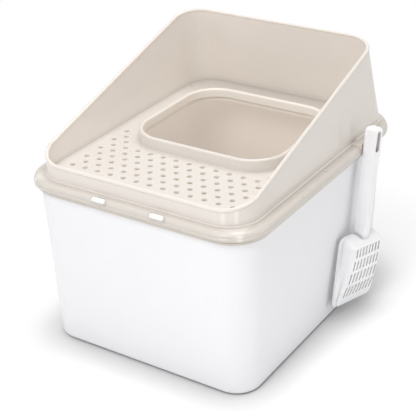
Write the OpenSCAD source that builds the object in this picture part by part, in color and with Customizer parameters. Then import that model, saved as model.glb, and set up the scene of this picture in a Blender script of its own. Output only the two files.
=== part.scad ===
// Top entry litter box: outer bin, lift-out litter pan, perforated entry lid with a raised
// collar, wedge splash guard, two press-in lid latches, a scoop on its hook and four pads.
// Millimetres, +Z up, front at -Y. The origin is on the floor, under the middle of the bin.
// Rounded walls are drawn as one section, swept round a rectangle of fixed corner centres.

/* [Footprint] */
// Half the width between the corner centres that every swept wall turns on
corner_x = 148; // [120:1:200]
// Half the depth between those corner centres
corner_y = 197; // [150:1:260]
// How much rounder the two rear corners are than the front ones
rear_round = 22; // [4:1:24]

/* [Bin] */
// Corner radius of the bin's outside at the rim
bin_top_r = 52; // [44:0.5:70]
// Corner radius of the bin's outside at the floor
bin_base_r = 42; // [34:0.5:60]
// Height of the bin's rim above the floor
bin_rim_z = 277; // [200:1:360]
// Wall thickness of the bin
bin_wall = 2.5; // [1.8:0.1:4]
// Thickness of the bin's floor
bin_floor_t = 3.2; // [2.8:0.1:6]
// Rounding of the bin's bottom edge
bin_edge_r = 6; // [3:0.5:12]

/* [Pads] */
// Radius of an anti-slip pad
pad_r = 13; // [8:0.5:20]
// Thickness of a pad
pad_t = 2.6; // [1.6:0.1:4]
// How far the pads stand below the bin
pad_proud = 1.2; // [0.6:0.1:2.4]
// Distance of each pad inside the corner centres, both ways
pad_inset = 14; // [0:1:60]

/* [Litter pan] */
// Wall thickness of the pan
pan_wall = 2.2; // [1.6:0.1:3.5]
// Gap between the pan and the bin at the rim
pan_gap = 3.5; // [2:0.1:8]
// Gap between the pan and the bin at the floor
pan_floor_gap = 1; // [0.5:0.1:4]
// How much narrower than the bin the pan's base is, each side
pan_base_step = 5; // [3:0.5:12]
// Rounding between the pan's wall and its base
pan_edge_r = 14; // [6:1:24]
// Thickness of the pan's rim flange
pan_flange_t = 2.3; // [1.6:0.1:4]
// How far the pan's rim flange stands out past the bin
pan_flange_out = 5; // [4:0.1:10]
// Depth of the lip that hangs from the pan's flange
pan_lip = 4.3; // [3:0.1:10]

/* [Lid] */
// Height of the lid's deck above the pan's flange
deck_rise = 16.5; // [12:0.5:30]
// Thickness of the deck
deck_t = 2.4; // [1.8:0.1:4]
// How far the lid's skirt stands out past the pan's flange
skirt_out = 6; // [4:0.5:12]
// Wall thickness of the skirt
skirt_t = 2.2; // [1.6:0.1:3.5]
// Radius of the rounded shoulder above the skirt
shoulder_r = 8; // [4:0.5:10]
// Height of the small step between shoulder and skirt
shoulder_step = 0.8; // [0.4:0.1:1.5]
// Shadow gap between the skirt and the pan's flange
skirt_gap = 3.8; // [1:0.1:6]
// How far the locating rib reaches down into the pan
locating_depth = 13; // [6:1:30]
// Play between the locating rib and the pan's wall
locating_play = 1; // [0.5:0.1:2]

/* [Entry collar] */
// Width of the entry opening
entry_w = 260; // [200:1:280]
// Depth of the entry opening
entry_d = 228; // [180:1:250]
// Corner radius of the entry opening
entry_r = 55; // [30:1:80]
// How far the middle of the opening lies behind the middle of the lid
entry_back = 45; // [30:1:60]
// Height of the collar above the deck
collar_h = 22; // [12:0.5:40]
// Width of the rolled collar, from the opening to its outer foot
collar_w = 8; // [6.5:0.1:12]
// Wall thickness of the collar
collar_t = 2.2; // [1.6:0.1:2.6]
// Height of the collar's inner return
collar_return = 15; // [8:0.5:18]

/* [Deck holes] */
// Diameter of a litter hole in the deck
hole_d = 9; // [5:0.5:12]
// Distance between holes along a row
hole_pitch = 25; // [18:0.5:32]
// Distance between rows
row_pitch = 18.3; // [14:0.1:24]
// Number of holes in the first row
row_holes = 14; // [8:2:14]
// Number of rows, the last ones beside the collar only
hole_rows = 9; // [4:1:10]
// Distance of the first row behind the guard's front wall
first_row = 61.5; // [40:0.5:80]
// Solid margin between the collar and the nearest hole
hole_margin = 7; // [6:0.5:14]

/* [Splash guard] */
// Distance of the guard's side walls inside the lid's skirt
guard_side_inset = 20; // [17:0.5:40]
// Distance of the guard's front and rear walls inside the lid's skirt
guard_end_inset = 17.6; // [16:0.2:40]
// Corner radius of the guard's foot
guard_r = 50; // [36:1:70]
// Height of the guard's front wall above the deck
guard_front_h = 28; // [20:1:60]
// Height of the guard's rear wall above the deck
guard_rear_h = 152; // [100:1:200]
// Forward lean of the rear wall, per millimetre of height
guard_rear_lean = 0.35; // [0:0.01:0.45]
// Inward lean of the side and front walls, per millimetre of height
guard_side_lean = 0.03; // [0:0.005:0.1]
// Wall thickness of the guard
guard_t = 2.6; // [1.8:0.1:4]
// Radius of the rounded lip along the guard's rim
guard_lip_r = 3; // [2:0.1:5]
// Width of the toe at the guard's foot
guard_toe = 2.4; // [1:0.1:4]
// Width of a snap tab under the guard
tab_w = 16; // [10:1:30]
// Depth of a snap tab below the top of the deck
tab_h = 8; // [6:0.5:12]

/* [Latches] */
// Length of a latch button
latch_l = 27; // [18:0.5:40]
// Height of a latch button
latch_h = 9; // [7:0.2:10]
// Distance of each latch from the middle of the lid
latch_x = 53; // [30:1:110]
// Gap between a latch and the edge of its window
latch_gap = 0.4; // [0.3:0.05:1]
// Width of the raised frame round a latch window
latch_frame = 1.6; // [1.2:0.1:2.4]

/* [Scoop] */
// Width of the scoop's handle at the hook
handle_w = 16.8; // [13:0.1:24]
// How much narrower the handle is next to the head
handle_taper = 3.4; // [0:0.1:6]
// Depth of the scoop's handle
handle_d = 22.4; // [18:0.1:26]
// How much shallower the handle is next to the head
handle_d_taper = 2.6; // [0:0.1:5]
// Wall thickness of the scoop
scoop_wall = 1.8; // [1.4:0.1:2.6]
// Height of the handle's rounded end above the hook
handle_top = 34; // [30:0.5:60]
// Length of the handle below the hook
handle_drop = 156; // [90:1:170]
// Length of the scoop's head
head_l = 124; // [90:1:140]
// Width of the head's mouth next to the handle
head_w_top = 89; // [70:1:110]
// Width of the head's mouth at its tip
head_w_tip = 106; // [80:1:120]
// Width of the head's floor
head_floor_w = 83; // [60:1:100]
// Depth of the head next to the handle
head_depth = 28.6; // [20:0.2:34]
// Depth of the head at its tip
head_tip_depth = 2.6; // [2.4:0.1:8]
// Height of the band along the mouth
band_h = 5.5; // [3:0.1:8]
// How far the band stands out from the wall
band_out = 2.2; // [1:0.1:3]
// Rows of slots in the head
slot_rows = 4; // [2:1:5]
// Slots in each row but the last, which has one more
slot_cols = 8; // [4:1:8]
// Width of a slot
slot_w = 3.6; // [2.5:0.1:4.5]
// Length of the slots in the first row
slot_l = 16.6; // [10:0.1:20]
// How much longer each row's slots are than the last row's
slot_grow = 1.8; // [0:0.1:3]
// Bridge left between two rows of slots
slot_bridge = 5.6; // [3:0.1:8]

/* [Scoop place] */
// Where the scoop hangs, behind the middle of the lid
hang_y = 97; // [60:1:130]
// Gap between the lid's skirt and the back of the handle
hang_gap = 2.4; // [1.5:0.1:8]
// Turn of the scoop towards the front
hang_turn = 12; // [0:1:16]
// Lean of the hanging scoop towards the front
hang_lean = 7; // [0:0.5:8]
// Play between the hook and what it fits
hook_play = 0.3; // [0.2:0.05:0.6]

/* [Hidden] */
$fn = 96;
white = [0.95, 0.95, 0.96];
beige = [0.88, 0.84, 0.79];
rubber = [0.55, 0.55, 0.56];

eps = 0.01;
// heights, from the floor up
bin_base_z = pad_proud;
bin_floor_z = bin_base_z + bin_floor_t;
pan_flange_z = bin_rim_z + pan_flange_t;
deck_z = pan_flange_z + deck_rise;
deck_under_z = deck_z - deck_t;
// radii of the swept walls
flange_r = bin_top_r + pan_flange_out;
skirt_r = flange_r + skirt_out;
pan_top_r = bin_top_r - bin_wall - pan_gap;
pan_base_r = bin_base_r - bin_wall - pan_base_step;
pan_base_z = bin_floor_z + pan_floor_gap;
pan_in_r = pan_top_r - pan_wall;
locating_r = pan_in_r - locating_play;
seat_r = bin_top_r + 3;
skirt_z = pan_flange_z + skirt_gap;
// half the width and depth of the guard's foot
guard_hw = corner_x + skirt_r - guard_side_inset;
guard_hd = corner_y + skirt_r - guard_end_inset;

function arc(cx, cy, r, a0, a1, n = 6) =
    [for (i = [0 : n]) let (a = a0 + (a1 - a0) * i / n) [cx + r * cos(a), cy + r * sin(a)]];
function lerp(a, b, t) = a + (b - a) * t;
function joined(lists) = [for (part = lists) each part];

// a section in (distance from the corner centre, height) swept round the rectangle, whose
// rear corners turn on centres that lie d further in
module swept(cx, cy, d = 0) {
    for (k = [0 : 3]) {
        in = k < 2 ? d : 0;
        translate([(k == 0 || k == 3 ? cx - in : in - cx), (k < 2 ? cy - in : -cy), 0])
            rotate(90 * k) rotate_extrude(angle = 90) translate([in, 0]) children();
    }
    for (side = [0, 1]) mirror([side, 0, 0])
        translate([cx, -d / 2, 0]) rotate([90, 0, 0])
            linear_extrude(2 * cy - d, center = true) children();
    translate([0, cy, 0]) rotate(90) rotate([90, 0, 0])
        linear_extrude(2 * (cx - d), center = true) children();
    mirror([0, 1, 0]) translate([0, cy, 0]) rotate(90) rotate([90, 0, 0])
        linear_extrude(2 * cx, center = true) children();
}
module shell_swept() { swept(corner_x, corner_y, rear_round) children(); }

// the flat plate that fills what shell_swept leaves in the middle
module core_plate(z0, z1) {
    d = rear_round;
    translate([-corner_x, -corner_y, z0]) cube([2 * corner_x, 2 * corner_y - d, z1 - z0]);
    translate([d - corner_x, corner_y - d, z0]) cube([2 * (corner_x - d), d, z1 - z0]);
    for (side = [0, 1]) mirror([side, 0, 0])
        translate([corner_x - d, corner_y - d, z0])
            rotate_extrude(angle = 90) square([d, z1 - z0]);
}

// a flat outline with rounded corners, inside or outside the corner centres
module rounded(cx, cy, r) {
    square([2 * cx, 2 * (cy + r)], center = true);
    square([2 * (cx + r), 2 * cy], center = true);
    for (sx = [-1, 1], sy = [-1, 1]) translate([sx * cx, sy * cy]) circle(r);
}

// rings of equally many points joined into one skin, with flat ends
module skin(rings) {
    n = len(rings[0]);
    m = len(rings);
    polyhedron(points = joined(rings), convexity = 10, faces = concat(
        [[for (i = [n - 1 : -1 : 0]) i]],
        [for (j = [0 : m - 2], i = [0 : n - 1], f = quad(j * n, (j + 1) * n, i, (i + 1) % n)) f],
        [[for (i = [0 : n - 1]) (m - 1) * n + i]]));
}

// rings joined into a skin that runs round and meets its own start
module loop_skin(rings) {
    n = len(rings[0]);
    m = len(rings);
    polyhedron(points = joined(rings), convexity = 10, faces =
        [for (j = [0 : m - 1], i = [0 : n - 1],
              f = quad(j * n, ((j + 1) % m) * n, i, (i + 1) % n)) f]);
}

function quad(a, b, i, k) = [[a + i, a + k, b + k], [a + i, b + k, b + i]];

// ---- bin ----
module bin() {
    color(white) {
        difference() {
            union() {
                shell_swept() polygon(concat(
                    [[0, bin_base_z]],
                    arc(bin_base_r - bin_edge_r, bin_base_z + bin_edge_r, bin_edge_r, -90, -2.5),
                    [[bin_top_r, bin_rim_z], [bin_top_r - bin_wall, bin_rim_z]],
                    arc(bin_base_r - bin_edge_r, bin_floor_z + bin_edge_r - bin_wall,
                        bin_edge_r - bin_wall, -2.5, -90),
                    [[0, bin_floor_z]]));
                core_plate(bin_base_z, bin_floor_z);
            }
            for (sx = [-1, 1], sy = [-1, 1])
                translate([sx * (corner_x - pad_inset), sy * (corner_y - pad_inset), -1])
                    cylinder(r = pad_r, h = 1 + pad_t);
        }
    }
}

// ---- anti-slip pads, each seated in a round recess of the bin's floor ----
module pad(sx, sy) {
    color(rubber) translate([sx * (corner_x - pad_inset), sy * (corner_y - pad_inset), 0])
        rotate_extrude() polygon([
            [0, 0], [pad_r - 1.6, 0], [pad_r - 0.9, 0.5], [pad_r - 0.3, pad_proud],
            [pad_r - 0.3, pad_t], [0, pad_t]]);
}
module pad_front_left() { pad(-1, -1); }
module pad_front_right() { pad(1, -1); }
module pad_rear_left() { pad(-1, 1); }
module pad_rear_right() { pad(1, 1); }

// ---- litter pan ----
module litter_pan() {
    lip_t = 1.8;
    color(beige) union() {
        shell_swept() polygon(concat(
            [[0, pan_base_z]],
            arc(pan_base_r - pan_edge_r, pan_base_z + pan_edge_r, pan_edge_r, -90, -3, 8),
            [[pan_top_r, bin_rim_z], [flange_r - lip_t, bin_rim_z],
             [flange_r - lip_t, pan_flange_z - pan_lip], [flange_r, pan_flange_z - pan_lip]],
            arc(flange_r - 1, pan_flange_z - 1, 1, 0, 90, 3),
            arc(pan_in_r + 1.5, pan_flange_z - 1.5, 1.5, 90, 177, 3),
            arc(pan_base_r - pan_edge_r, pan_base_z + pan_edge_r, pan_edge_r - pan_wall, -3, -90, 8),
            [[0, pan_base_z + pan_wall]]));
        core_plate(pan_base_z, pan_base_z + pan_wall);
    }
}

// ---- entry lid ----
shoulder_cr = skirt_r - shoulder_step - shoulder_r;
shoulder_cz = deck_z - shoulder_r;
entry_cx = entry_w / 2 - entry_r;
entry_cy = entry_d / 2 - entry_r;
collar_out_r = entry_r + collar_w;
collar_top_z = deck_z + collar_h;
first_row_y = first_row - guard_hd;

// true where a hole is clear of the collar
function clear_hole(x, y) =
    let (dx = max(abs(x) - entry_cx, 0), dy = max(abs(y - entry_back) - entry_cy, 0))
    sqrt(dx * dx + dy * dy) > collar_out_r + hole_margin + hole_d / 2;

// place on the front shoulder: x along the lid, y up the slope, z out of it
module on_shoulder(x) {
    translate([x, -corner_y - shoulder_cr, shoulder_cz]) rotate([45, 0, 0]) children();
}

module pill(l, h) {
    square([l - h, h], center = true);
    for (sx = [-1, 1]) translate([sx * (l - h) / 2, 0]) circle(d = h);
}

// where the guard's tabs pass the deck: [x, y, turn], turn 0 for a tab that faces +X
tab_places = [
    for (y = [-0.5, 0.12]) each [[guard_hw, y * guard_hd, 0], [-guard_hw, y * guard_hd, 180]],
    for (x = [-0.52, 0.52]) each [[x * guard_hw, guard_hd, 90], [x * guard_hw, -guard_hd, 270]]];
tab_t = 2;

module at_tabs() {
    for (p = tab_places) translate([p.x, p.y, 0]) rotate(p.z) children();
}

module entry_lid() {
    color(beige) difference() {
        union() {
            shell_swept() polygon(concat(
                [[0, deck_under_z], [0, deck_z]],
                arc(shoulder_cr, shoulder_cz, shoulder_r, 90, 0, 8),
                [[skirt_r, shoulder_cz - shoulder_step], [skirt_r, skirt_z],
                 [skirt_r - skirt_t, skirt_z], [skirt_r - skirt_t, shoulder_cz - shoulder_step]],
                arc(shoulder_cr, shoulder_cz, shoulder_r - deck_t, 0, 90, 8)));
            core_plate(deck_under_z, deck_z);
            // rib that rests on the pan's flange, and rib that keeps the lid in the pan
            shell_swept() translate([seat_r - 2.2, pan_flange_z])
                square([2.2, deck_under_z - pan_flange_z + eps]);
            shell_swept() polygon([
                [locating_r - 2.2, deck_under_z + eps], [locating_r, deck_under_z + eps],
                [locating_r, pan_flange_z], [locating_r - 0.8, pan_flange_z - locating_depth],
                [locating_r - 2.6, pan_flange_z - locating_depth]]);
            stiffeners();
            collar();
            for (sx = [-1, 1]) on_shoulder(sx * latch_x) translate([0, 0, shoulder_r - 3])
                linear_extrude(3.5) pill(latch_l + 2 * (latch_gap + latch_frame),
                                         latch_h + 2 * (latch_gap + latch_frame));
        }
        translate([0, entry_back, deck_under_z - 20]) linear_extrude(20 + deck_t + eps)
            rounded(entry_cx, entry_cy, collar_out_r - collar_t);
        deck_holes();
        for (sx = [-1, 1]) {
            on_shoulder(sx * latch_x) linear_extrude(20)
                pill(latch_l + 2 * latch_gap, latch_h + 2 * latch_gap);
            // the seat rib stops behind each latch
            translate([sx * latch_x - latch_l / 2 - 5, -corner_y - seat_r - eps, pan_flange_z - 1])
                cube([latch_l + 10, 2.2 + 2 * eps, deck_under_z - pan_flange_z + 1]);
        }
        at_tabs() {
            translate([-tab_t - 0.6, -tab_w / 2 - 0.4, deck_under_z - 1])
                cube([tab_t + 0.9, tab_w + 0.8, deck_t + 2]);
            translate([-6, -tab_w / 2 - 1, deck_z - tab_h - 1])
                cube([7, tab_w + 2, tab_h + 1 - deck_t]);
        }
        hook_notch();
    }
}

// ribs under the deck, between the rows of holes in front of the entry
module stiffeners() {
    rib_x = corner_x + locating_r - 1;
    for (row = [0, 2, 4])
        translate([-rib_x, first_row_y + (row + 0.5) * row_pitch - 0.8, deck_under_z - 5])
            cube([2 * rib_x, 1.6, 5 + eps]);
}

// rolled collar round the entry opening
module collar() {
    roll = (collar_w - 0.6) / 2;
    cr = entry_r + roll;
    cz = collar_top_z - roll;
    translate([0, entry_back, 0]) swept(entry_cx, entry_cy) polygon(concat(
        [[collar_out_r - collar_t, deck_under_z], [collar_out_r, deck_under_z],
         [collar_out_r + 1.2, deck_z], [collar_out_r + 0.3, deck_z + 0.7],
         [collar_out_r - 0.1, deck_z + 2]],
        arc(cr, cz, roll, 0, 180, 10),
        [[entry_r, collar_top_z - collar_return],
         [entry_r + collar_t, collar_top_z - collar_return]],
        arc(cr, cz, roll - collar_t, 180, 0, 8)));
}

module deck_holes() {
    translate([0, 0, deck_under_z - 1]) linear_extrude(deck_t + 2)
        for (row = [0 : hole_rows - 1]) {
            y = first_row_y + row * row_pitch;
            count = row_holes - row % 2;
            for (i = [0 : count - 1]) {
                x = (i - (count - 1) / 2) * hole_pitch;
                if (clear_hole(x, y)) translate([x, y]) circle(d = hole_d, $fn = 48);
            }
        }
}

// ---- splash guard ----
function guard_lean(y) = y > 0 ? guard_rear_lean : guard_side_lean;
function guard_at(p, h) = [
    p.x * (1 - guard_side_lean * h / guard_hw),
    p.y * (1 - guard_lean(p.y) * h / guard_hd),
    deck_z + h];
// the rim lies in one sloping plane: its height over a point of the foot's outline
rim_y0 = -(guard_hd - guard_side_lean * guard_front_h);
rim_y1 = guard_hd - guard_rear_lean * guard_rear_h;
rim_slope = (guard_rear_h - guard_front_h) / (rim_y1 - rim_y0);
function rim_h(y) = (guard_front_h + rim_slope * (y - rim_y0))
    / (1 + rim_slope * y * guard_lean(y) / guard_hd);
function guard_ring(c, a) =
    let (n = [cos(a), sin(a)], p = c + guard_r * n, h = rim_h(p.y),
         a0 = acos(guard_t / 2 / guard_lip_r),
         foot = [[guard_toe, 0], [guard_toe, 1.2], [0.3, 2.8]],
         lip = [for (q = arc(-guard_t / 2, h - guard_lip_r, guard_lip_r, -a0, 180 + a0, 9)) q],
         inside = [[-guard_t, 2.8], [-guard_t, 0]])
    [for (q = concat(foot, lip, inside)) guard_at(p + q.x * n, q.y)];

module splash_guard() {
    cx = guard_hw - guard_r;
    cy = guard_hd - guard_r;
    color(beige) union() {
        loop_skin([for (k = [0 : 3], a = [0 : 7.5 : 90])
            guard_ring([k == 0 || k == 3 ? cx : -cx, k < 2 ? cy : -cy], 90 * k + a)]);
        at_tabs() tab();
    }
}

// a snap tab that goes through the deck and catches its underside
module tab() {
    rotate([90, 0, 0]) linear_extrude(tab_w, center = true) polygon([
        [-tab_t - 0.3, deck_z + 2], [-tab_t - 0.3, deck_z - tab_h],
        [-0.6, deck_z - tab_h], [0.9, deck_under_z - 1.6], [0.9, deck_under_z - 0.2],
        [-0.3, deck_under_z - 0.2], [-0.3, deck_z + 2]]);
}

// ---- latches ----
module latch(sx) {
    face = shoulder_r + 1;
    color(white) on_shoulder(sx * latch_x) {
        translate([0, 0, face - 0.8]) linear_extrude(0.8) pill(latch_l - 0.8, latch_h - 0.8);
        translate([0, 0, 3]) linear_extrude(face - 3.8) pill(latch_l, latch_h);
        // ears behind the wall keep the button in its window
        translate([-latch_l / 2 - 3, -2.8, 3]) cube([latch_l + 6, 5.6, 1.3]);
    }
}
module latch_left() { latch(-1); }
module latch_right() { latch(1); }

// ---- scoop hook ----
hook_w = 18;
hook_top_z = deck_z + 4.4;
peg_w = 8;
// place of the scoop: x away from the lid, y to the rear, z up, origin on the hook's top
module at_scoop() {
    translate([corner_x + skirt_r + hang_gap, hang_y, hook_top_z])
        rotate(-hang_turn) rotate([-hang_lean, 0, 0]) children();
}
hook_y = hang_y + handle_w / 2 * cos(hang_turn);
notch_x = corner_x + seat_r + 0.2;

module hook_notch() {
    translate([notch_x, hook_y - hook_w / 2, skirt_z - 1])
        cube([skirt_r - seat_r + 1, hook_w, deck_z - skirt_z + 2]);
}

module scoop_hook() {
    w = hook_w - 2 * hook_play;
    plate_x = guard_hw + guard_toe + hook_play;
    front_x = corner_x + skirt_r - 0.6;
    tongue_x = notch_x + hook_play;
    color(beige) {
        translate([plate_x, hook_y - w / 2, deck_z])
            cube([front_x - plate_x, w, hook_top_z - deck_z]);
        translate([tongue_x, hook_y - w / 2, skirt_z + 1])
            cube([front_x - tongue_x, w, deck_z - skirt_z]);
        // barbs under the shoulder
        translate([tongue_x, hook_y - w / 2 - 1.4, deck_under_z - 3.2])
            cube([1.4, w + 2.8, 2]);
        at_scoop() {
            translate([-9, (handle_w - peg_w) / 2, -4.4]) cube([9 + lip_in + 2.4, peg_w, 4.4]);
            translate([lip_in, (handle_w - peg_w) / 2, -eps]) cube([2.4, peg_w, 4]);
        }
    }
}

// ---- scoop ----
// in the scoop's own frame: x away from the bin, y across, z along it, tip downwards
head_top = -handle_drop;
// the bar inside the channel, which rests on the hook's peg behind its lip
bar_in = 2.4;
bar_out = 5.2;
lip_in = bar_out + 1;
mid_y = handle_w / 2;

// the head from t = 0 next to the handle to t = 1 at the tip, whose corners are rounded
tip_r = 16;
tip_t = 1 - tip_r * sin(60) / head_l;
function tip_turn(t) = t > tip_t ? asin((t - tip_t) / (1 - tip_t) * sin(60)) : 0;
function head_rim(t) = lerp(-1, 3.9, t);
function head_floor(t) =
    lerp(head_depth - 1, head_tip_depth + 3.9, pow(t, 2.2));
// one section: half widths at the mouth and at the floor, from the rim x0 to the floor x1
function head_section(wm, wf, x0, x1, out, r, z) =
    let (q = min(r, 0.45 * (x1 - x0)), h = min(band_h, 0.35 * (x1 - x0)),
         edge = min(0.8, 0.15 * (x1 - x0)),
         half = concat([[x0, -wm]], out > 0 ? [[x0 + h, -wm], [x0 + h + edge, out - wm]] : [],
                       arc(x1 - q, q - wf, q, -90, 0, 5)))
    [for (p = half) [p.x, mid_y + p.y, z],
     for (i = [len(half) - 1 : -1 : 0]) [half[i].x, mid_y - half[i].y, z]];
// the head closes in a rounded back next to the handle: t, share of depth, share of width
back_steps = [[0, 0.2, 0.72], [0.008, 0.42, 0.83], [0.025, 0.68, 0.92], [0.055, 0.88, 0.975],
              [0.1, 1, 1]];
mid_steps = [0.2, 0.3, 0.4, 0.5, 0.6, 0.7, 0.8, 0.885, 0.915, 0.945, 0.97, 0.99, 1];
// inset 0 is the outside; the inside is cut through the mouth and the tip
function head_ring(t, depth, width, inset, drop) =
    let (turn = tip_turn(t), cut = tip_r * (1 - cos(turn)), side = inset / cos(turn),
         band = inset > 0 ? band_out : 0, x0 = head_rim(t), x1 = lerp(x0, head_floor(t), depth),
         wm = lerp(head_w_top, head_w_tip, t) / 2 * width - cut,
         wf = (head_floor_w / 2 + 6 * pow(t, 3)) * width - cut)
    head_section(wm - side - band, wf - side, inset > 0 ? x0 - 4 : x0, x1 - inset,
                 inset > 0 ? 0 : band_out * min(1, (x1 - x0) / 10), 8.5 - inset,
                 head_top - t * head_l - drop);
function head_rings(inset) = concat(
    [for (b = back_steps) head_ring(b[0], b[1], b[2], inset, inset)],
    [for (t = mid_steps) head_ring(t, 1, 1, inset, 0)],
    inset > 0 ? [head_ring(1, 1, 1, inset, 4)] : []);

module scoop() {
    color(white) at_scoop() difference() {
        union() {
            handle();
            difference() {
                skin(head_rings(0));
                skin(head_rings(scoop_wall));
            }
            // bar across the channel that sits on the hook
            translate([bar_in, scoop_wall / 2, 0])
                cube([bar_out - bar_in, handle_w - scoop_wall, 6]);
        }
        slots();
    }
}

// U-shaped handle, open towards the bin
module handle() {
    difference() {
        handle_body(0);
        handle_body(scoop_wall);
        // oblong hole in the outer web
        translate([handle_d / 2, mid_y, 10]) rotate([0, 90, 0]) linear_extrude(handle_d)
            pill(35, 9.4);
    }
}

module handle_body(inset) {
    r = 8 - inset;
    top = handle_top - inset;
    low_z = head_top - 4 + inset;
    side = 6 - inset;
    wide = handle_w / 2 - inset;
    low = wide - handle_taper / 2;
    intersection() {
        translate([0, handle_w + 5, 0]) rotate([90, 0, 0]) linear_extrude(handle_w + 10)
            polygon(concat(
                [[inset > 0 ? -1 : 0, low_z], [handle_d - handle_d_taper - inset, low_z]],
                arc(handle_d - inset - r, top - r, r, 0, 90, 6),
                inset > 0 ? [[-1, top]] : arc(8, top - 8, 8, 90, 180, 6)));
        translate([-2, mid_y, 0]) rotate([90, 0, 90]) linear_extrude(handle_d + 4)
            polygon(concat([[-low, low_z], [low, low_z]],
                arc(wide - side, top - side, side, 0, 90, 6),
                arc(side - wide, top - side, side, 90, 180, 6)));
    }
}

module slots() {
    for (row = [0 : slot_rows - 1]) {
        long = slot_l + row * slot_grow;
        z = head_top - 13.5 - long / 2 - row * (slot_l + slot_bridge)
            - slot_grow * row * (row - 1) / 2;
        t = (head_top - z) / head_l;
        cols = slot_cols + (row == slot_rows - 1 ? 1 : 0);
        step = (head_floor_w - 28.5 + 19 * t) / (cols - 1);
        for (i = [0 : cols - 1])
            translate([-1, mid_y + (i - (cols - 1) / 2) * step, z])
                rotate([0, 90, 0]) linear_extrude(head_depth + 4)
                    pill(long, slot_w, $fn = 24);
    }
}

bin();
pad_front_left();
pad_front_right();
pad_rear_left();
pad_rear_right();
litter_pan();
entry_lid();
splash_guard();
latch_left();
latch_right();
scoop_hook();
scoop();
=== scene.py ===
import bpy
import math
from mathutils import Matrix, Vector

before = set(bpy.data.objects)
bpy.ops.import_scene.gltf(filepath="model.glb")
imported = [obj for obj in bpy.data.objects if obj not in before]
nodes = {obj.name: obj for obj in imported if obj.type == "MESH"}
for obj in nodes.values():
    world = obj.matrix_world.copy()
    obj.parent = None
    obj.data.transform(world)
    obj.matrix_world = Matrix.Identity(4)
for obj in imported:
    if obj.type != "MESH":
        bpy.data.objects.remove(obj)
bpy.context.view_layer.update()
bpy.ops.object.select_all(action="DESELECT")
print("frame loaded,", len(nodes), "nodes")


# camera, at the place solved from the photograph's edges

cameraSetup = {
    "place": (0.931165, -1.440379, 1.086710),
    "yaw": 33.632,            # turned to the left of straight back
    "pitch": 27.964,          # looks down
    "roll": -2.0,
    "focalPixels": 1149.327,
    "imageWidth": 416,
    "sensorWidth": 36,
    "farClip": 50,
}


def addCamera(setup):
    yaw, pitch, roll = (math.radians(setup[k]) for k in ("yaw", "pitch", "roll"))
    forward = Vector((
        -math.sin(yaw) * math.cos(pitch), math.cos(yaw) * math.cos(pitch), -math.sin(pitch)))
    right = Vector((math.cos(yaw), math.sin(yaw), 0))
    up = right.cross(forward)
    rolledRight = right * math.cos(roll) + up * math.sin(roll)
    rolledUp = up * math.cos(roll) - right * math.sin(roll)
    bpy.ops.object.camera_add(location=setup["place"])
    camera = bpy.context.object
    camera.name = "productCamera"
    turn = Matrix((rolledRight, rolledUp, -forward)).transposed()
    camera.rotation_euler = turn.to_euler()
    camera.data.sensor_width = setup["sensorWidth"]
    camera.data.lens = setup["sensorWidth"] * setup["focalPixels"] / setup["imageWidth"]
    camera.data.clip_end = setup["farClip"]
    bpy.context.scene.camera = camera


addCamera(cameraSetup)


# helpers for shader nodes

mixFactor, mixFirst, mixSecond, mixResult = 0, 6, 7, 2    # sockets of a colour Mix node


def setInput(tree, socket, value):
    # a value is either fixed or comes from another node's socket
    if isinstance(value, bpy.types.NodeSocket):
        tree.links.new(value, socket)
    else:
        socket.default_value = value


def addNode(tree, kind, inputs=None, **settings):
    node = tree.nodes.new(kind)
    for key, value in settings.items():
        setattr(node, key, value)
    for label, value in (inputs or {}).items():
        setInput(tree, node.inputs[label], value)
    return node


def addMath(tree, operation, *values):
    node = addNode(tree, "ShaderNodeMath", dict(enumerate(values)), operation=operation)
    return node.outputs[0]


def addMix(tree, factor, first, second, blend="MIX"):
    node = addNode(tree, "ShaderNodeMix", {mixFactor: factor}, data_type="RGBA", blend_type=blend)
    for index, colour in ((mixFirst, first), (mixSecond, second)):
        if not isinstance(colour, bpy.types.NodeSocket):
            colour = (*colour, 1)
        setInput(tree, node.inputs[index], colour)
    return node.outputs[mixResult]


def addNoise(tree, place, scale, detail, rough=0.5, stretch=None):
    if stretch:
        place = addNode(tree, "ShaderNodeMapping", {"Vector": place, "Scale": stretch}).outputs[0]
    noise = addNode(tree, "ShaderNodeTexNoise", {
        "Vector": place, "Scale": scale, "Detail": detail, "Roughness": rough})
    return noise.outputs["Fac"]


# studio: soft lamps, pale floor

studio = {
    "worldStrength": 0.62,
    "lamps": {
        "frontSoftbox": {
            "place": (0.15, -1.5, 1.8), "aim": (0, 0, 0.25), "size": 1.0, "power": 17.0},
        "topSoftbox": {
            "place": (0.1, 0.2, 2.7), "aim": (0, 0, 0.25), "size": 1.3, "power": 22.5},
        "leftStrip": {
            "place": (-1.7, -1.5, 0.9), "aim": (0, 0, 0.3), "size": 0.6, "power": 3.0},
        "rightSoftbox": {
            "place": (1.9, 0.3, 0.45), "aim": (0, 0, 0.12), "size": 1.5, "power": 4.1},
        # two small strips that the guard's front corner mirrors
        "cornerStripLeft": {
            "place": (0.179, -0.516, 0.195), "aim": (0.154, -0.24, 0.31),
            "size": 0.11, "width": 0.022, "power": 0.025},
        "cornerStripRight": {
            "place": (0.384, -0.409, 0.196), "aim": (0.173, -0.23, 0.31),
            "size": 0.11, "width": 0.022, "power": 0.025},
    },
    "floorSize": 24,
    "floorColour": (0.92, 0.92, 0.92),
    # painted contact shadow on the floor
    "contactShadowColour": (0.45, 0.45, 0.46),      # close to the object, which shades the floor
    "contactReach": 0.06,
    "nearRadius": 0.27, "farRadius": 0.55,    # the camera sees plain white past the far one
}


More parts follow.
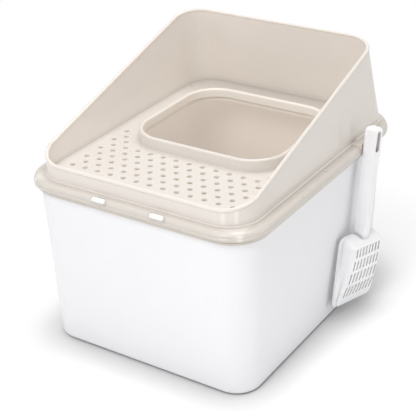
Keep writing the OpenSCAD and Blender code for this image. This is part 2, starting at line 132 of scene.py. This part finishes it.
def addLamp(name, lampSetup):
    bpy.ops.object.light_add(type="AREA", location=lampSetup["place"])
    lamp = bpy.context.object
    lamp.name = name
    lamp.data.shape = "RECTANGLE" if "width" in lampSetup else "DISK"
    lamp.data.size = lampSetup.get("width", lampSetup["size"])
    lamp.data.size_y = lampSetup["size"]
    lamp.data.energy = lampSetup["power"]
    aim = Vector(lampSetup["aim"]) - Vector(lampSetup["place"])
    lamp.rotation_euler = aim.to_track_quat("-Z", "Y").to_euler()


def addWorld(strength):
    # even light from all round, which the camera sees as plain white
    world = bpy.data.worlds.new("paleStudio")
    bpy.context.scene.world = world
    world.use_nodes = True
    tree = world.node_tree
    tree.nodes.clear()
    white = (1, 1, 1, 1)
    light = addNode(tree, "ShaderNodeBackground", {"Color": white, "Strength": strength})
    seen = addNode(tree, "ShaderNodeBackground", {"Color": white, "Strength": 1})
    path = addNode(tree, "ShaderNodeLightPath")
    mix = addNode(tree, "ShaderNodeMixShader", {
        0: path.outputs["Is Camera Ray"], 1: light.outputs[0], 2: seen.outputs[0]})
    addNode(tree, "ShaderNodeOutputWorld", {"Surface": mix.outputs[0]})


def makeFloorMaterial(s):
    # pale paper with a painted contact shadow, and plain white for the camera further away
    mat = bpy.data.materials.new("palePaper")
    mat.use_nodes = True
    tree = mat.node_tree
    tree.nodes.clear()
    place = addNode(tree, "ShaderNodeTexCoord").outputs["Object"]
    distance = addNode(tree, "ShaderNodeVectorMath", {0: place}, operation="LENGTH")
    ring = addNode(tree, "ShaderNodeMapRange", {
        "Value": distance.outputs["Value"],
        "From Min": s["nearRadius"], "From Max": s["farRadius"]})
    path = addNode(tree, "ShaderNodeLightPath")
    share = addMath(
        tree, "MULTIPLY", path.outputs["Is Camera Ray"], ring.outputs["Result"])
    nook = addNode(tree, "ShaderNodeAmbientOcclusion", {"Distance": s["contactReach"]})
    colour = addMix(tree, nook.outputs["AO"], s["contactShadowColour"], s["floorColour"])
    paper = addNode(tree, "ShaderNodeBsdfDiffuse", {"Color": colour})
    glow = addNode(tree, "ShaderNodeEmission", {"Color": (1, 1, 1, 1)})
    mix = addNode(tree, "ShaderNodeMixShader", {
        0: share, 1: paper.outputs[0], 2: glow.outputs[0]})
    addNode(tree, "ShaderNodeOutputMaterial", {"Surface": mix.outputs[0]})
    return mat


def addStudio(s):
    bpy.context.scene.view_settings.view_transform = "Standard"
    addWorld(s["worldStrength"])
    for name, lampSetup in s["lamps"].items():
        addLamp(name, lampSetup)
    bpy.ops.mesh.primitive_plane_add(size=s["floorSize"], location=(0, 0, 0))
    floor = bpy.context.object
    floor.name = "studioFloor"
    floor.data.materials.append(makeFloorMaterial(s))
    bpy.ops.object.select_all(action="DESELECT")


addStudio(studio)
print("camera and studio set")


# shared effects of moulded plastic, as node groups

mouldedGrain = {
    "grainDetail": 2.0,
    "waveScale": 9.0, "waveDetail": 2.0,
    "cloudScale": 22.0, "cloudDetail": 4.0, "cloudRough": 0.6,
}
handlingMarks = {
    "scuffScale": 60.0, "scuffDetail": 5.0, "scuffRough": 0.65,
    "scuffStretch": (1, 1, 9), "scuffStart": 0.62, "scuffGain": 2.0,
    "dustScale": 14.0, "dustDetail": 6.0, "dustRough": 0.7, "dustStart": 0.5,
}
outerZone = {"edgeSlope": 150.0}      # a higher one gives a sharper edge


def newGroup(name, inputs, outputs):
    group = bpy.data.node_groups.new(name, "ShaderNodeTree")
    for label, kind, value in inputs:
        socket = group.interface.new_socket(name=label, in_out="INPUT", socket_type=kind)
        socket.default_value = value
    for label in outputs:
        group.interface.new_socket(
            name=label, in_out="OUTPUT", socket_type="NodeSocketFloat")
    return group, addNode(group, "NodeGroupInput"), addNode(group, "NodeGroupOutput")


def makeGrainGroup(g):
    # fine spark-eroded grain of a mould, and the slow waviness of a moulded wall
    group, start, end = newGroup(
        "mouldedGrain",
        [("Place", "NodeSocketVector", (0, 0, 0)),
         ("Grain Scale", "NodeSocketFloat", 1400.0),
         ("Grain Height", "NodeSocketFloat", 0.5), ("Wave Height", "NodeSocketFloat", 0.5)],
        ["Height", "Cloud"])
    place = start.outputs["Place"]
    grain = addNoise(group, place, start.outputs["Grain Scale"], g["grainDetail"])
    wave = addNoise(group, place, g["waveScale"], g["waveDetail"])
    cloud = addNoise(group, place, g["cloudScale"], g["cloudDetail"], g["cloudRough"])
    height = addMath(group, "MULTIPLY", grain, start.outputs["Grain Height"])
    height = addMath(group, "MULTIPLY_ADD", wave, start.outputs["Wave Height"], height)
    setInput(group, end.inputs["Height"], height)
    setInput(group, end.inputs["Cloud"], cloud)
    return group


def makeUseGroup(g):
    # faint scuffs from handling and a trace of dust in patches
    group, start, end = newGroup(
        "handlingMarks",
        [("Place", "NodeSocketVector", (0, 0, 0)), ("Scuffs", "NodeSocketFloat", 0.3),
         ("Dust", "NodeSocketFloat", 0.2)],
        ["Scuff Mask", "Dust Mask"])
    place = start.outputs["Place"]
    lines = addNoise(
        group, place, g["scuffScale"], g["scuffDetail"], g["scuffRough"], g["scuffStretch"])
    lines = addMath(group, "MAXIMUM", addMath(group, "SUBTRACT", lines, g["scuffStart"]), 0)
    lines = addMath(group, "MULTIPLY", lines, g["scuffGain"])
    lines = addMath(group, "MULTIPLY", lines, start.outputs["Scuffs"])
    dust = addNoise(group, place, g["dustScale"], g["dustDetail"], g["dustRough"])
    dust = addMath(group, "MAXIMUM", addMath(group, "SUBTRACT", dust, g["dustStart"]), 0)
    dust = addMath(group, "MULTIPLY", dust, start.outputs["Dust"])
    setInput(group, end.inputs["Scuff Mask"], lines)
    setInput(group, end.inputs["Dust Mask"], dust)
    return group


def makeZoneGroup(g):
    # 1 outside a rectangle about the middle of the box, 0 inside it, soft between
    group, start, end = newGroup(
        "outerZone",
        [("Place", "NodeSocketVector", (0, 0, 0)), ("Half X", "NodeSocketFloat", 0.19),
         ("Half Y", "NodeSocketFloat", 0.24)],
        ["Outside", "Height"])
    parts = addNode(group, "ShaderNodeSeparateXYZ", {0: start.outputs["Place"]})
    over = []
    for axis in ("X", "Y"):
        reach = addMath(group, "ABSOLUTE", parts.outputs[axis])
        over.append(addMath(group, "SUBTRACT", reach, start.outputs["Half " + axis]))
    outside = addMath(group, "MULTIPLY", addMath(group, "MAXIMUM", *over), g["edgeSlope"])
    outside = addMath(group, "MINIMUM", addMath(group, "MAXIMUM", outside, 0), 1)
    setInput(group, end.inputs["Outside"], outside)
    setInput(group, end.inputs["Height"], parts.outputs["Z"])
    return group


grainGroup = makeGrainGroup(mouldedGrain)
zoneGroup = makeZoneGroup(outerZone)
useGroup = makeUseGroup(handlingMarks)


# plastics: all start from the plain one, and each finish lists what it has of its own

plainPlastic = {
    "toneStep": 0.975, "dustColour": (0.7, 0.68, 0.64), "ior": 1.49,
    "grainScale": 1400.0, "grainHeight": 0.15, "waveHeight": 0.5,
    "bump": 0.35, "bumpDistance": 0.0003,
    "roughness": 0.24, "roughSpread": 0.1, "scuffs": 0.03, "dust": 0.07,
    # painted shade in seams and corners
    "nookSamples": 8, "nookReach": 0.012,
    "nookShade": 0.55, "nookStart": 1.0, "nookDepth": 0.35,
    # painted glow standing in for light on the inside, on faces turned to insideCentre, less near
    # the floor
    "paintedInsideGlow": 0.0, "paintedGlowColour": (0.66, 0.61, 0.56), "insideCentre": (0, 0, 0.36),
    "fadeLow": 0.02, "fadeHigh": 0.26, "fadeLeast": 0.25,
}
finishes = {
    "whiteShell": {
        "colour": (0.835, 0.835, 0.85), "roughness": 0.34,
        # painted shadow: a wide reach darkens the wall behind the scoop; painted glow lights the
        # inside of the bin
        "nookReach": 0.045, "nookStart": 0.3, "nookShade": 0.9,
        "paintedInsideGlow": 0.3, "paintedGlowColour": (0.85, 0.85, 0.87),
        "insideCentre": (0, 0, 0.14)},
    "beigePan": {
        "colour": (0.66, 0.61, 0.555), "roughness": 0.42, "nookShade": 0.15,
        # painted glow lights the inside walls of the pan
        "paintedInsideGlow": 0.42},
    "beigeLid": {
        "colour": (0.73, 0.69, 0.645), "nookShade": 0.35,
        # painted glow on the lid's inner and under faces
        "paintedInsideGlow": 0.22, "paintedGlowColour": (0.66, 0.58, 0.49),
        "insideCentre": (0, 0.045, 0.29),
        # painted shade: the band outside the deck is coloured a tone deeper than the deck
        "bandPaintedShade": (0.84, 0.8274, 0.8106), "deckHalf": (0.186, 0.243),
        # painted glow on the walls of the holes and of the entry, under the deck's face
        "paintedHoleGlow": 0.24, "deckTop": 0.2968, "uprightLimit": 0.6},
    "beigeGuard": {
        "colour": (0.755, 0.703, 0.653), "roughness": 0.13, "roughSpread": 0.03,
        # painted glow on the guard's inner faces
        "grainHeight": 0.03, "nookShade": 0.2, "paintedInsideGlow": 0.16},
    "whiteButton": {
        "colour": (0.78, 0.77, 0.75), "roughness": 0.25, "grainHeight": 0.1,
        "nookReach": 0.004, "nookShade": 0.9},
    "whiteScoop": {
        "colour": (0.9, 0.9, 0.91), "roughness": 0.3,
        # painted shade: a very dark tone in the slots and corners of the scoop
        "nookReach": 0.007, "nookShade": 1.0, "nookDepth": 0.06},
    "padRubber": {"colour": (0.25, 0.25, 0.26), "roughness": 0.7, "grainHeight": 0.8},
}


def addPaintedNookShade(tree, p, colour):
    # painted shade: seams and corners are darkened in the colour by an occlusion mask
    nook = addNode(tree, "ShaderNodeAmbientOcclusion", {
        "Distance": p["nookReach"]}, samples=p["nookSamples"])
    shade = addNode(tree, "ShaderNodeMapRange", {
        "Value": nook.outputs["AO"], "From Max": p["nookStart"],
        "To Min": p["nookShade"], "To Max": 0})
    deep = [c * c * p["nookDepth"] for c in p["colour"]]
    return addMix(tree, shade.outputs["Result"], colour, deep)


def addPaintedHoleGlow(tree, p, normal, zone):
    # painted glow on the walls of the holes and of the entry, which makes them paler
    faces = addNode(tree, "ShaderNodeSeparateXYZ", {0: normal})
    tilt = addMath(tree, "ABSOLUTE", faces.outputs["Z"])
    upright = addMath(tree, "LESS_THAN", tilt, p["uprightLimit"])
    below = addMath(tree, "LESS_THAN", zone.outputs["Height"], p["deckTop"])
    onDeck = addMath(tree, "SUBTRACT", 1, zone.outputs["Outside"])
    holeWallMask = addMath(tree, "MULTIPLY", addMath(tree, "MULTIPLY", upright, below), onDeck)
    return addMath(tree, "MULTIPLY", holeWallMask, p["paintedHoleGlow"])


def addPaintedInsideGlow(tree, p, coord, normal):
    # painted glow standing in for light on the inside, on the faces turned to the inside only
    inward = addNode(tree, "ShaderNodeVectorMath", {
        0: p["insideCentre"], 1: coord}, operation="SUBTRACT")
    facing = addNode(tree, "ShaderNodeVectorMath", {
        0: inward.outputs[0], 1: normal}, operation="DOT_PRODUCT")
    inside = addMath(tree, "GREATER_THAN", facing.outputs["Value"], 0)
    height = addNode(tree, "ShaderNodeSeparateXYZ", {0: coord})
    fade = addNode(tree, "ShaderNodeMapRange", {
        "Value": height.outputs["Z"], "From Min": p["fadeLow"], "From Max": p["fadeHigh"],
        "To Min": p["fadeLeast"]})
    glow = addMath(tree, "MULTIPLY", inside, p["paintedInsideGlow"])
    return addMath(tree, "MULTIPLY", glow, fade.outputs["Result"])


def makePlastic(name, p):
    mat = bpy.data.materials.new(name)
    mat.use_nodes = True
    tree = mat.node_tree
    shader = tree.nodes["Principled BSDF"]
    coord = addNode(tree, "ShaderNodeTexCoord").outputs["Object"]
    normal = addNode(tree, "ShaderNodeNewGeometry").outputs["Normal"]
    grain = addNode(tree, "ShaderNodeGroup", node_tree=grainGroup, inputs={
        "Place": coord, "Grain Scale": p["grainScale"],
        "Grain Height": p["grainHeight"], "Wave Height": p["waveHeight"]})
    marks = addNode(tree, "ShaderNodeGroup", node_tree=useGroup, inputs={
        "Place": coord, "Scuffs": p["scuffs"], "Dust": p["dust"]})

    # colour: two near tones of the pigment, then dust, then painted shade
    nearTone = [c * p["toneStep"] for c in p["colour"]]
    colour = addMix(tree, grain.outputs["Cloud"], p["colour"], nearTone)
    colour = addMix(tree, marks.outputs["Dust Mask"], colour, p["dustColour"])
    colour = addPaintedNookShade(tree, p, colour)
    glows = []
    if "bandPaintedShade" in p:
        halfX, halfY = p["deckHalf"]
        zone = addNode(tree, "ShaderNodeGroup", node_tree=zoneGroup, inputs={
            "Place": coord, "Half X": halfX, "Half Y": halfY})
        colour = addMix(tree, zone.outputs["Outside"], colour, p["bandPaintedShade"], "MULTIPLY")
        glows.append(addPaintedHoleGlow(tree, p, normal, zone))
    if p["paintedInsideGlow"]:
        glows.append(addPaintedInsideGlow(tree, p, coord, normal))

    rough = addMath(tree, "MULTIPLY_ADD", grain.outputs["Cloud"], p["roughSpread"], p["roughness"])
    rough = addMath(tree, "ADD", rough, marks.outputs["Scuff Mask"])
    bump = addNode(tree, "ShaderNodeBump", {
        "Strength": p["bump"], "Distance": p["bumpDistance"],
        "Height": grain.outputs["Height"]})
    setInput(tree, shader.inputs["Base Color"], colour)
    setInput(tree, shader.inputs["Roughness"], rough)
    setInput(tree, shader.inputs["Normal"], bump.outputs["Normal"])
    setInput(tree, shader.inputs["IOR"], p["ior"])
    # painted glow: emission where no lamp is
    if glows:
        brightest = addMath(tree, "MAXIMUM", glows[0], glows[-1])
        setInput(tree, shader.inputs["Emission Color"], (*p["paintedGlowColour"], 1))
        setInput(tree, shader.inputs["Emission Strength"], brightest)
    return mat


plastics = {name: makePlastic(name, {**plainPlastic, **own}) for name, own in finishes.items()}
print("materials made")


# which finish each piece has

nodeFinish = {
    "bin": "whiteShell", "litter_pan": "beigePan", "entry_lid": "beigeLid",
    "splash_guard": "beigeGuard", "scoop_hook": "beigeLid", "scoop": "whiteScoop",
    "latch_left": "whiteButton", "latch_right": "whiteButton",
    "pad_front_left": "padRubber", "pad_front_right": "padRubber",
    "pad_rear_left": "padRubber", "pad_rear_right": "padRubber",
}
for nodeName, finish in nodeFinish.items():
    for entry in nodes[nodeName].material_slots:
        entry.material = plastics[finish]
print("finishes given to", len(nodeFinish), "nodes")
